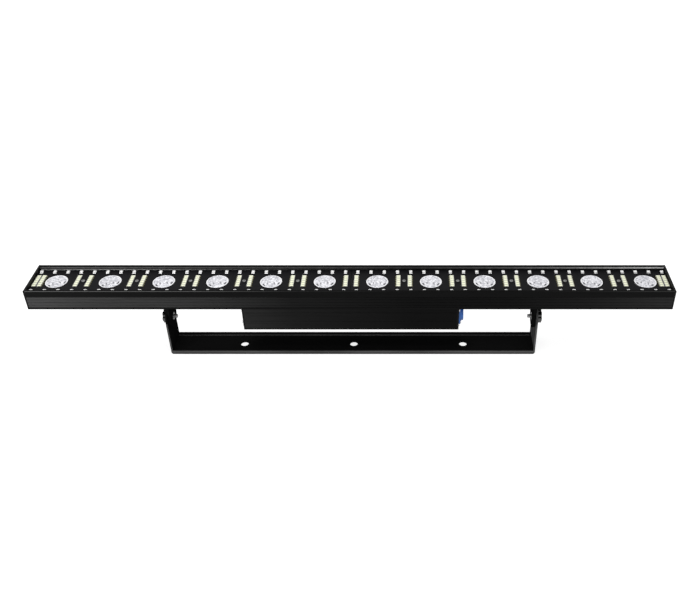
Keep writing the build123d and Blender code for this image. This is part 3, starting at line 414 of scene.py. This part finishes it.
def lens_material():
    """Clear optics, shown opaque: pale and dim facets, a bright rim at the sides, glints, and dark arcs and
    streaks are all painted reflections and refractions.
    """
    material, tree, shader = new_material("lens_moulded_clear")
    link = tree.links.new
    place = add(tree, "ShaderNodeAttribute", attribute_name="lens_place").outputs["Vector"]
    everywhere = object_place(tree)
    along = axes_of(tree, everywhere)[0]
    turned = add(tree, "ShaderNodeVectorRotate", rotation_type="Z_AXIS")
    link(place, turned.inputs["Vector"])
    link(multiply_add(tree, along, -LENS_TURN_PER_METRE, LENS_UNTURNED_X * LENS_TURN_PER_METRE),
         turned.inputs["Angle"])
    x, y, _ = axes_of(tree, turned.outputs["Vector"])
    length = add(tree, "ShaderNodeVectorMath", operation="LENGTH")
    link(place, length.inputs[0])
    radius = length.outputs["Value"]
    angle = combine(tree, "ARCTAN2", y, x)

    # painted refraction: the facets are painted pale and dim
    warp = noise(tree, everywhere, scale=420.0, detail=3.0)
    cells = add(tree, "ShaderNodeTexVoronoi", feature="F1")
    cells.inputs["Scale"].default_value = 380.0
    link(everywhere, cells.inputs["Vector"])
    tone = add(tree, "ShaderNodeSeparateColor")
    link(cells.outputs["Color"], tone.inputs[0])
    share = combine(tree, "ADD", multiply_add(tree, tone.outputs[0], 0.75, 0.0),
                    multiply_add(tree, warp, 0.9, -0.2))
    colour = colour_mix(tree, share, LENS_DIM, LENS_PALE)

    # painted highlights: glints, and a rim painted brighter towards the sides
    glint = 0.0
    for limits in LENS_GLINTS:
        glint = combine(tree, "MAXIMUM", within_box(tree, x, y, limits, 0.05, 0.05), glint)
    at_sides = map_range(tree, combine(tree, "ABSOLUTE", x), 0.35, 0.8, 0.3, 1.0, "SMOOTHSTEP")
    rim = combine(tree, "MULTIPLY", band(tree, radius, 0.9, 2.0, 0.015), at_sides)
    shine = combine(tree, "MAXIMUM", rim, multiply_add(tree, glint, 0.9, 0.0))
    colour = colour_mix(tree, shine, colour, LENS_SHINE)

    # painted refraction: dark arcs and streaks
    wavy_radius = combine(tree, "ADD", radius, multiply_add(tree, warp, 0.08, -0.04))
    dark = 0.0
    for limits in LENS_PAINTED_ARCS:
        dark = combine(tree, "MAXIMUM", within_box(tree, wavy_radius, angle, limits, 0.02, 0.08), dark)
    for limits in LENS_PAINTED_STREAKS:
        streak = multiply_add(tree, within_box(tree, x, y, limits, 0.03, 0.06), 0.75, 0.0)
        dark = combine(tree, "MAXIMUM", streak, dark)
    colour = colour_mix(tree, dark, colour, LENS_DARK)
    link(colour, shader.inputs["Base Color"])
    link(multiply_add(tree, warp, 0.2, 0.05), shader.inputs["Roughness"])
    shader.inputs["Coat Weight"].default_value = 0.5
    shader.inputs["Coat Roughness"].default_value = 0.05
    return material


MATERIALS = {
    "housing_metal": extrusion_material("black_anodised", grey(0.004), grey(0.01), RIBS_FOOT, True),
    "box_metal": extrusion_material("black_anodised_box", grey(0.001), grey(0.003), BOX_RIBS_FOOT, False),
    "end_plate_paint": finish_material("end_plate_black", grey(0.002), grey(0.006), 0.42, 0.1, dust=0.02,
                                       Specular_IOR_Level=0.08),
    "box_end_paint": finish_material("box_end_black", grey(0.002), grey(0.006), 0.42, 0.1, dust=0.02,
                                     Specular_IOR_Level=0.08),
    "yoke_paint": yoke_material(),
    "bracket_paint": finish_material("bracket_powder_coat", grey(0.0005), grey(0.02), 0.4, 0.14, scale=260.0,
                                     bump=0.3, depth=0.05, dust=0.0, Specular_IOR_Level=0.0),
    "board_black": board_material(),
    "screw_steel": finish_material("bright_screw_steel", grey(0.5), grey(0.68), 0.26, 0.2, scale=900.0,
                                   dust=0.1, Metallic=1.0),
    "screw_black": finish_material("black_screw_steel", grey(0.01), grey(0.03), 0.3, 0.2, dust=0.05,
                                   Specular_IOR_Level=0.5),
    "board_screw_steel": finish_material("board_screw_steel", grey(0.1), grey(0.3), 0.3, 0.2, scale=700.0,
                                         dust=0.05, Metallic=0.7),
    "zinc_steel": finish_material("zinc_plated_steel", grey(0.05), grey(0.6), 0.24, 0.2, scale=300.0,
                                  dust=0.03, Metallic=1.0),
    "rgb_led": finish_material("led_package_white", grey(0.9, 0.99), grey(0.95, 0.99), 0.42, 0.1, dust=0.02),
    "white_led": finish_material("led_frame_white", grey(0.42, 0.92), grey(0.56, 0.92), 0.42, 0.1, dust=0.05),
    "emitter": finish_material("emitter_phosphor", (0.85, 0.7, 0.2, 1), (0.95, 0.8, 0.3, 1), 0.3, 0.1),
    "black_plastic": finish_material("moulded_black", grey(0.006), grey(0.015), 0.4, 0.12, scale=1200.0,
                                     bump=0.2, dust=0.03, Specular_IOR_Level=0.3),
    "knob_plastic": finish_material("knob_black", grey(0.002), grey(0.006), 0.16, 0.1, scale=1500.0, bump=0.2,
                                    depth=0.03, dust=0.01, Specular_IOR_Level=0.5, Coat_Weight=0.5),
    "latch_plastic": finish_material("latch_grey", grey(0.2), grey(0.26), 0.4, 0.1, scale=1200.0, bump=0.2),
    "blue_plastic": finish_material("socket_blue", (0.045, 0.19, 0.66, 1), (0.06, 0.24, 0.78, 1), 0.3, 0.12,
                                    scale=900.0, bump=0.15, dust=0.05),
    "grey_plastic": finish_material("socket_grey", grey(0.5), grey(0.6), 0.3, 0.12, scale=900.0, bump=0.15),
    "panel_plastic": finish_material("panel_black", grey(0.006), grey(0.014), 0.5, 0.1, scale=1500.0,
                                     bump=0.3, Specular_IOR_Level=0.3),
    "button_plastic": finish_material("button_grey", grey(0.24), grey(0.3), 0.45, 0.1, scale=1200.0,
                                      bump=0.2),
    "window_glass": finish_material("window_dark", (0.02, 0.025, 0.03, 1), (0.03, 0.035, 0.04, 1), 0.08, 0.05,
                                    bump=0.0, dust=0.02, Coat_Weight=0.6),
    "brass": finish_material("contact_gold", (0.75, 0.55, 0.22, 1), (0.85, 0.65, 0.3, 1), 0.25, 0.1,
                             Metallic=1.0),
    "aluminium": finish_material("mill_aluminium", grey(0.6), grey(0.75), 0.35, 0.15, LENGTHWISE, 700.0,
                                 Metallic=1.0),
    "circuit_green": finish_material("circuit_green", (0.02, 0.12, 0.05, 1), (0.03, 0.2, 0.08, 1), 0.3, 0.1),
    "transformer_tape": finish_material("transformer_tape", (0.6, 0.45, 0.08, 1), (0.7, 0.55, 0.12, 1),
                                        0.4, 0.1),
    "capacitor_sleeve": finish_material("capacitor_sleeve", (0.02, 0.03, 0.08, 1), (0.03, 0.04, 0.1, 1),
                                        0.25, 0.1),
    "rubber": finish_material("rubber_black", grey(0.012), grey(0.025), 0.7, 0.1, scale=900.0, bump=0.3),
    "lead_sheath": finish_material("lead_sheath", grey(0.015), grey(0.03), 0.5, 0.1, scale=900.0, bump=0.2),
    "lens_clear": lens_material(),
    "led_filling": finish_material("led_filling_clear", grey(0.88, 0.99), grey(0.95, 0.99), 0.12, 0.1,
                                   bump=0.05, dust=0.0, Coat_Weight=0.6),
    "phosphor": finish_material("phosphor_pale_yellow", (0.83, 0.86, 0.58, 1), (0.93, 0.95, 0.74, 1), 0.25,
                                0.1, scale=500.0, dust=0.02),
    "solder": finish_material("solder_bright", grey(0.62), grey(0.85), 0.25, 0.15, dust=0.02, Metallic=0.9),
    "flux_solder": finish_material("solder_with_flux", (0.1, 0.095, 0.035, 1), (0.24, 0.23, 0.1, 1), 0.3,
                                   0.15, dust=0.05, Metallic=0.5),
}


# nodes whose finish differs from their slot's
NODE_FINISHES = {"board_screws": "board_screw_steel"}


def dress_nodes():
    slots = {entry["node"]: entry["material_slot"] for entry in frame["record"]["subparts"]}
    for name, obj in nodes.items():
        obj.data.materials.clear()
        obj.data.materials.append(MATERIALS[NODE_FINISHES.get(name, slots[name])])


dress_nodes()


# ---- repeated pieces: one tree sets a small part along rows and columns ----
def build_repeat_tree():
    tree, given, result = new_group(
        "repeat_in_columns", "GeometryNodeTree",
        {"Geometry": (MESH, None), "Part": (OBJECT, None), "Parts per Column": (WHOLE, 1),
         "Pitch": (FLOAT, 0.005), "Finish": (MATERIAL, None)},
        {"Geometry": MESH},
    )
    column = add(tree, "GeometryNodeMeshLine", mode="OFFSET")
    pitch = add(tree, "ShaderNodeCombineXYZ")
    start = add(tree, "ShaderNodeCombineXYZ")
    part = add(tree, "GeometryNodeObjectInfo")
    columns = add(tree, "GeometryNodeInstanceOnPoints")
    points = add(tree, "GeometryNodeRealizeInstances")
    parts = add(tree, "GeometryNodeInstanceOnPoints")
    whole = add(tree, "GeometryNodeRealizeInstances")
    finish = add(tree, "GeometryNodeSetMaterial")
    gaps = combine(tree, "SUBTRACT", given.outputs["Parts per Column"], 1.0)
    length = combine(tree, "MULTIPLY", gaps, given.outputs["Pitch"])
    link = tree.links.new
    link(combine(tree, "MULTIPLY", length, -0.5), start.inputs["Y"])
    link(given.outputs["Pitch"], pitch.inputs["Y"])
    link(given.outputs["Parts per Column"], column.inputs["Count"])
    link(start.outputs[0], column.inputs["Start Location"])
    link(pitch.outputs[0], column.inputs["Offset"])
    link(given.outputs["Geometry"], columns.inputs["Points"])
    link(column.outputs["Mesh"], columns.inputs["Instance"])
    link(columns.outputs["Instances"], points.inputs["Geometry"])
    link(points.outputs["Geometry"], parts.inputs["Points"])
    link(given.outputs["Part"], part.inputs["Object"])
    link(part.outputs["Geometry"], parts.inputs["Instance"])
    link(parts.outputs["Instances"], whole.inputs["Geometry"])
    link(whole.outputs["Geometry"], finish.inputs["Geometry"])
    link(given.outputs["Finish"], finish.inputs["Material"])
    link(finish.outputs["Geometry"], result.inputs["Geometry"])
    return tree


REPEAT = build_repeat_tree()


def new_object(name, data):
    obj = bpy.data.objects.new(name, data)
    bpy.context.scene.collection.objects.link(obj)
    return obj


def repeat_part(name, part_mesh, places, finish, count=1, pitch=0.0, smooth=False):
    """Sets part_mesh at every place, count times along Y, and returns one plain mesh object."""
    for face in part_mesh.polygons:
        face.use_smooth = smooth
    part = new_object(name + "_part", part_mesh)
    carrier_mesh = bpy.data.meshes.new(name + "_places")
    carrier_mesh.from_pydata([tuple(place) for place in places], [], [])
    carrier = new_object(name + "_carrier", carrier_mesh)
    modifier = carrier.modifiers.new("repeat", "NODES")
    modifier.node_group = REPEAT
    sockets = {item.name: item.identifier for item in REPEAT.interface.items_tree if item.in_out == "INPUT"}
    modifier[sockets["Part"]] = part
    modifier[sockets["Parts per Column"]] = count
    modifier[sockets["Pitch"]] = pitch
    modifier[sockets["Finish"]] = finish
    depsgraph = bpy.context.evaluated_depsgraph_get()
    mesh = bpy.data.meshes.new_from_object(carrier.evaluated_get(depsgraph), depsgraph=depsgraph)
    mesh.name = name
    piece = new_object(name, mesh)
    for helper in (carrier, part):
        bpy.data.objects.remove(helper)
    return piece


def on_lamp(piece, slot, *replaced):
    """Fixes a piece to the lamp and hides the nodes that it stands for; slot is not used."""
    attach(piece, "lamp")
    if replaced:
        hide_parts(*replaced)


def mesh_of(name, build):
    shape = bmesh.new()
    build(shape)
    bmesh.ops.recalc_face_normals(shape, faces=shape.faces)
    mesh = bpy.data.meshes.new(name)
    shape.to_mesh(mesh)
    shape.free()
    return mesh


def ring_of(shape, points):
    return [shape.verts.new(point) for point in points]


def bridge(shape, first, second):
    """Four-sided faces between two rings of as many points."""
    count = len(first)
    for i in range(count):
        j = (i + 1) % count
        shape.faces.new((first[i], first[j], second[j], second[i]))


def close_rings(shape, rings):
    """Sides between neighbouring rings, and a face over the first and the last."""
    for first, second in zip(rings, rings[1:]):
        bridge(shape, first, second)
    shape.faces.new(rings[0])
    shape.faces.new(rings[-1])


# ---- small LEDs: a tapered package with a round cup, its clear filling and its solder joints ----
CUP_RADIUS = 2.05 * MM
CUP_DEPTH = 0.45 * MM
CUP_TAPER = 0.25 * MM
RGB_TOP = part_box("rgb_leds")[1].z - BOARD_TOP
RGB_BEVEL = 0.2 * MM
RGB_NOTCH = 0.3 * MM
RGB_CORNERS = 16
RGB_JOINT = (1.7 * MM, 1.1 * MM, 0.6 * MM)  # reach, width, height
RGB_JOINTS_X = (-1.7 * MM, 0.0, 1.7 * MM)
JOINT_OVERLAP = 0.05 * MM


def square_ring(half, height, count, notch=0.0):
    """Points around a square, with one corner set back by notch."""
    points = []
    for i in range(count):
        angle = 2 * math.pi * (i + 0.5) / count
        reach = 1 / max(abs(math.cos(angle)), abs(math.sin(angle)))
        x = half * reach * math.cos(angle)
        y = half * reach * math.sin(angle)
        if x > half - notch and y > half - notch:
            x -= notch
            y -= notch
        points.append((x, y, height))
    return points


def circle_ring(radius, height, count):
    angles = [2 * math.pi * (i + 0.5) / count for i in range(count)]
    return [(radius * math.cos(angle), radius * math.sin(angle), height) for angle in angles]


def rgb_package(shape):
    half = RGB_SIZE / 2
    foot = ring_of(shape, square_ring(half, 0, RGB_CORNERS))
    shoulder = ring_of(shape, square_ring(half - 0.12 * MM, RGB_TOP - RGB_BEVEL, RGB_CORNERS, RGB_NOTCH))
    top = ring_of(shape, square_ring(half - 0.3 * MM, RGB_TOP, RGB_CORNERS, RGB_NOTCH))
    lip = ring_of(shape, circle_ring(CUP_RADIUS, RGB_TOP, RGB_CORNERS))
    cup = ring_of(shape, circle_ring(CUP_RADIUS - CUP_TAPER, RGB_TOP - CUP_DEPTH, RGB_CORNERS))
    close_rings(shape, (foot, shoulder, top, lip, cup))


def rgb_filling(shape):
    floor = RGB_TOP - CUP_DEPTH
    foot = ring_of(shape, circle_ring(CUP_RADIUS - 0.28 * MM, floor + 0.02 * MM, RGB_CORNERS))
    edge = ring_of(shape, circle_ring(CUP_RADIUS - 0.12 * MM, RGB_TOP - 0.16 * MM, RGB_CORNERS))
    swell = ring_of(shape, circle_ring(CUP_RADIUS * 0.6, RGB_TOP - 0.06 * MM, RGB_CORNERS))
    close_rings(shape, (foot, edge, swell))


def solder_joint(reach, width, height, toe=0.3):
    """A fillet of solder that slopes down along +X from the package's side."""
    def build(shape):
        half = width / 2
        top = toe * half
        foot = ring_of(shape, [(0, -half, 0), (reach, -half, 0), (reach, half, 0), (0, half, 0)])
        crest = ring_of(shape, [(0, -half, height), (reach * 0.4, -top, height * 0.8),
                                (reach * 0.4, top, height * 0.8), (0, half, height)])
        close_rings(shape, (foot, crest))
    return build


def flipped(build):
    """The same shape, sloping down along -X."""
    def turned(shape):
        build(shape)
        for vert in shape.verts:
            vert.co.x = -vert.co.x
    return turned


def facing(build, side):
    """The same shape, sloping down along Y instead of X."""
    def turned(shape):
        build(shape)
        for vert in shape.verts:
            vert.co.x, vert.co.y = vert.co.y, side * vert.co.x
    return turned


RGB_PLACES = [(x, y, BOARD_TOP) for x in RGB_X for y in (-RGB_ROW_Y, RGB_ROW_Y)]


def build_rgb_rows():
    packages = repeat_part("rgb_packages", mesh_of("rgb_package", rgb_package), RGB_PLACES,
                           MATERIALS["rgb_led"])
    on_lamp(packages, "rgb_led", "rgb_leds")
    fillings = repeat_part("rgb_fillings", mesh_of("rgb_filling", rgb_filling), RGB_PLACES,
                           MATERIALS["led_filling"], smooth=True)
    on_lamp(fillings, "rgb_led")
    joint = solder_joint(*RGB_JOINT)
    for side, name in ((1, "rear"), (-1, "front")):
        places = [(x + dx, y + side * (RGB_SIZE / 2 - JOINT_OVERLAP), z) for x, y, z in RGB_PLACES
                  for dx in RGB_JOINTS_X]
        mesh = mesh_of("rgb_joint", facing(joint, side))
        piece = repeat_part(f"rgb_joints_{name}", mesh, places, MATERIALS["solder"])
        on_lamp(piece, "screw_steel")


# ---- white LEDs in columns: a frame, a pale yellow window and a solder joint each ----
def rectangle(half_x, half_y, height):
    return [(-half_x, -half_y, height), (half_x, -half_y, height), (half_x, half_y, height),
            (-half_x, half_y, height)]


WINDOW_MARGIN_X = 0.75 * MM
WINDOW_MARGIN = 0.45 * MM
WINDOW_DEPTH = 0.2 * MM
WINDOW_GAP = 0.03 * MM
FRAME_BEVEL = 0.12 * MM
WHITE_JOINT = (1.3 * MM, 2.4 * MM, 0.5 * MM, 0.5)  # reach, width, height, toe


def white_frame(shape):
    half_x, half_y, height = WHITE_SIZE[0] / 2, WHITE_SIZE[1] / 2, WHITE_SIZE[2]
    window_x, window_y = half_x - WINDOW_MARGIN_X, half_y - WINDOW_MARGIN
    close_rings(shape, [
        ring_of(shape, rectangle(half_x, half_y, 0)),
        ring_of(shape, rectangle(half_x, half_y, height - FRAME_BEVEL)),
        ring_of(shape, rectangle(half_x - FRAME_BEVEL, half_y - FRAME_BEVEL, height)),
        ring_of(shape, rectangle(window_x, window_y, height)),
        ring_of(shape, rectangle(window_x, window_y, height - WINDOW_DEPTH)),
    ])


def white_window(shape):
    half_x = WHITE_SIZE[0] / 2 - WINDOW_MARGIN_X - WINDOW_GAP
    half_y = WHITE_SIZE[1] / 2 - WINDOW_MARGIN - WINDOW_GAP
    top = WHITE_SIZE[2]
    close_rings(shape, [
        ring_of(shape, rectangle(half_x, half_y, top - WINDOW_DEPTH)),
        ring_of(shape, rectangle(half_x, half_y, top - 0.06 * MM)),
        ring_of(shape, rectangle(half_x * 0.8, half_y * 0.75, top - 0.01 * MM)),
    ])


def build_white_columns():
    places = [(x, 0, BOARD_TOP) for x, _ in COLUMNS]
    frames = repeat_part("white_frames", mesh_of("white_frame", white_frame), places, MATERIALS["white_led"],
                         WHITE_COUNT, WHITE_PITCH)
    on_lamp(frames, "white_led", "white_leds")
    windows = repeat_part("white_windows", mesh_of("white_window", white_window), places,
                          MATERIALS["phosphor"], WHITE_COUNT, WHITE_PITCH)
    on_lamp(windows, "white_led")
    joint = solder_joint(*WHITE_JOINT)
    for side, name, build in ((1, "right", joint), (-1, "left", flipped(joint))):
        places = [(x + side * (WHITE_SIZE[0] / 2 - JOINT_OVERLAP), 0, BOARD_TOP) for x, joint_side in COLUMNS
                  if joint_side == side]
        piece = repeat_part(f"white_joints_{name}", mesh_of("white_joint", build), places,
                            MATERIALS["flux_solder"], WHITE_COUNT, WHITE_PITCH)
        on_lamp(piece, "screw_steel")


# ---- lenses: a bright moulded rim around a pebbled face ----
PEBBLE_RINGS = 10
PEBBLE_HEIGHT = 0.28 * MM
PEBBLE_SEED = 12
# how far the face rises towards its middle, and how deep its edge and its centre lie under the rim
CROWN_HEIGHT = 0.25 * MM
FACE_DEPTH = 1.0 * MM
CENTRE_DEPTH = 0.7 * MM
FACE_RADIUS = LENS_RADIUS - 2.2 * MM
# radius and height around the face, down to the board
RIM_PROFILE = ((FACE_RADIUS + 0.5 * MM, -0.25 * MM), (LENS_RADIUS - 1.3 * MM, 0.0),
               (LENS_RADIUS - 0.5 * MM, 0.0), (LENS_RADIUS - 0.1 * MM, -0.2 * MM),
               (LENS_RADIUS, -0.6 * MM), (LENS_RADIUS, -2.8 * MM))


def lens_face(shape, rng):
    """Rings of 6, 12, 18 ... points, each lifted by a little, so the face is a field of small facets."""
    centre = shape.verts.new((0, 0, -CENTRE_DEPTH))
    inner = [centre]
    for k in range(1, PEBBLE_RINGS + 1):
        count = 6 * k
        radius = FACE_RADIUS * k / PEBBLE_RINGS
        outer = []
        last = k == PEBBLE_RINGS
        crown = CROWN_HEIGHT * (1 - k / PEBBLE_RINGS)
        for i in range(count):
            turn = 2 * math.pi * (i + (0 if last else rng.uniform(-0.3, 0.3))) / count
            reach = radius * (1 if last else rng.uniform(0.97, 1.03))
            height = -FACE_DEPTH + (0 if last else rng.uniform(0, PEBBLE_HEIGHT) + crown)
            outer.append(shape.verts.new((reach * math.cos(turn), reach * math.sin(turn), height)))
        for sector in range(6):
            for step in range(k):
                a = outer[(sector * k + step) % count]
                b = outer[(sector * k + step + 1) % count]
                if k == 1:
                    shape.faces.new((centre, a, b))
                    continue
                c = inner[(sector * (k - 1) + step) % len(inner)]
                shape.faces.new((c, a, b))
                if step < k - 1:
                    d = inner[(sector * (k - 1) + step + 1) % len(inner)]
                    shape.faces.new((c, b, d))
        inner = outer
    return inner


def lens_shape(shape):
    edge = lens_face(shape, random.Random(PEBBLE_SEED))
    count = len(edge)
    turns = [2 * math.pi * i / count for i in range(count)]
    for radius, height in RIM_PROFILE:
        ring = ring_of(shape, [(radius * math.cos(turn), radius * math.sin(turn), height) for turn in turns])
        bridge(shape, edge, ring)
        edge = ring
    shape.faces.new(edge)


def build_lenses():
    mesh = mesh_of("lens_optic", lens_shape)
    places = mesh.attributes.new("lens_place", "FLOAT_VECTOR", "POINT")
    for vert, item in zip(mesh.vertices, places.data):
        item.vector = vert.co / LENS_RADIUS
    optics = repeat_part("lens_optics", mesh, [(x, 0, LENS_TOP) for x in LENS_X], MATERIALS["lens_clear"])
    on_lamp(optics, "lens_clear", *LENSES)


build_rgb_rows()
build_white_columns()
build_lenses()


# ---- stage: floor, lights and camera ----
FLOOR_GLOW = 0.84
FAR_GLOW = 0.95
WORLD_LEVEL = 0.25
FLOOR_REACH = 9.0
CAMERA_PLACE = (0.0886, -1.1098, 0.8896)
CAMERA_DIP = 36.13
CAMERA_LENS = 44.697
CAMERA_SHIFT = -0.0889
# name, place, target, size, watts
LIGHTS = (("soft_top", (-0.2, -0.1, 1.7), (0, 0, 0.1), (2.2, 1.2), 30),
          ("soft_left", (-0.95, -0.55, 0.17), (-0.45, 0, 0.12), (0.3, 0.3), 3.0),
          ("soft_right", (1.0, -0.5, 0.17), (0.5, 0, 0.12), (0.3, 0.3), 1.5))


def background_rays(tree):
    """1 for the rays that see the white background itself, straight on or in metal and glass."""
    path = add(tree, "ShaderNodeLightPath")
    straight = combine(tree, "MAXIMUM", path.outputs["Is Camera Ray"], path.outputs["Is Glossy Ray"])
    return combine(tree, "MAXIMUM", straight, path.outputs["Is Transmission Ray"])


def build_floor():
    mesh = bpy.data.meshes.new("studio_floor")
    mesh.from_pydata(rectangle(FLOOR_REACH, FLOOR_REACH, 0), [], [(0, 1, 2, 3)])
    floor = new_object("studio_floor", mesh)
    material, tree, shader = new_material("studio_floor_white")
    shader.inputs["Base Color"].default_value = grey(0.4)
    shader.inputs["Roughness"].default_value = 0.9
    shader.inputs["Specular IOR Level"].default_value = 0.0
    glow = add(tree, "ShaderNodeEmission")
    glow.inputs["Color"].default_value = (1, 1, 1, 1)
    away = add(tree, "ShaderNodeVectorMath", operation="LENGTH")
    tree.links.new(object_place(tree), away.inputs[0])
    growing = map_range(tree, away.outputs["Value"], 0.35, 1.3, FLOOR_GLOW, FAR_GLOW, "SMOOTHSTEP")
    strength = combine(tree, "MULTIPLY", background_rays(tree), growing)
    tree.links.new(strength, glow.inputs["Strength"])
    both = add(tree, "ShaderNodeAddShader")
    tree.links.new(shader.outputs[0], both.inputs[0])
    tree.links.new(glow.outputs[0], both.inputs[1])
    tree.links.new(both.outputs[0], tree.nodes["Material Output"].inputs["Surface"])
    mesh.materials.append(material)


def build_world():
    world = bpy.data.worlds.new("studio_world")
    bpy.context.scene.world = world
    world.use_nodes = True
    tree = world.node_tree
    background = tree.nodes["Background"]
    level = multiply_add(tree, background_rays(tree), 1.0 - WORLD_LEVEL, WORLD_LEVEL)
    background.inputs["Color"].default_value = (1, 1, 1, 1)
    tree.links.new(level, background.inputs["Strength"])


def add_area_light(name, place, target, size, watts):
    light = bpy.data.lights.new(name, "AREA")
    light.shape = "RECTANGLE"
    light.size = size[0]
    light.size_y = size[1]
    light.energy = watts
    lamp = new_object(name, light)
    lamp.location = place
    lamp.rotation_euler = (Vector(target) - Vector(place)).to_track_quat("-Z", "Y").to_euler()


def build_camera():
    data = bpy.data.cameras.new("studio_camera")
    data.sensor_width = 36.0
    data.lens = CAMERA_LENS
    data.shift_x = CAMERA_SHIFT
    data.clip_start = 0.05
    camera = new_object("studio_camera", data)
    camera.location = CAMERA_PLACE
    camera.rotation_euler = (math.radians(90 - CAMERA_DIP), 0, 0)
    bpy.context.scene.camera = camera


build_floor()
build_world()
for light in LIGHTS:
    add_area_light(*light)
build_camera()
bpy.context.scene.view_settings.view_transform = "Standard"
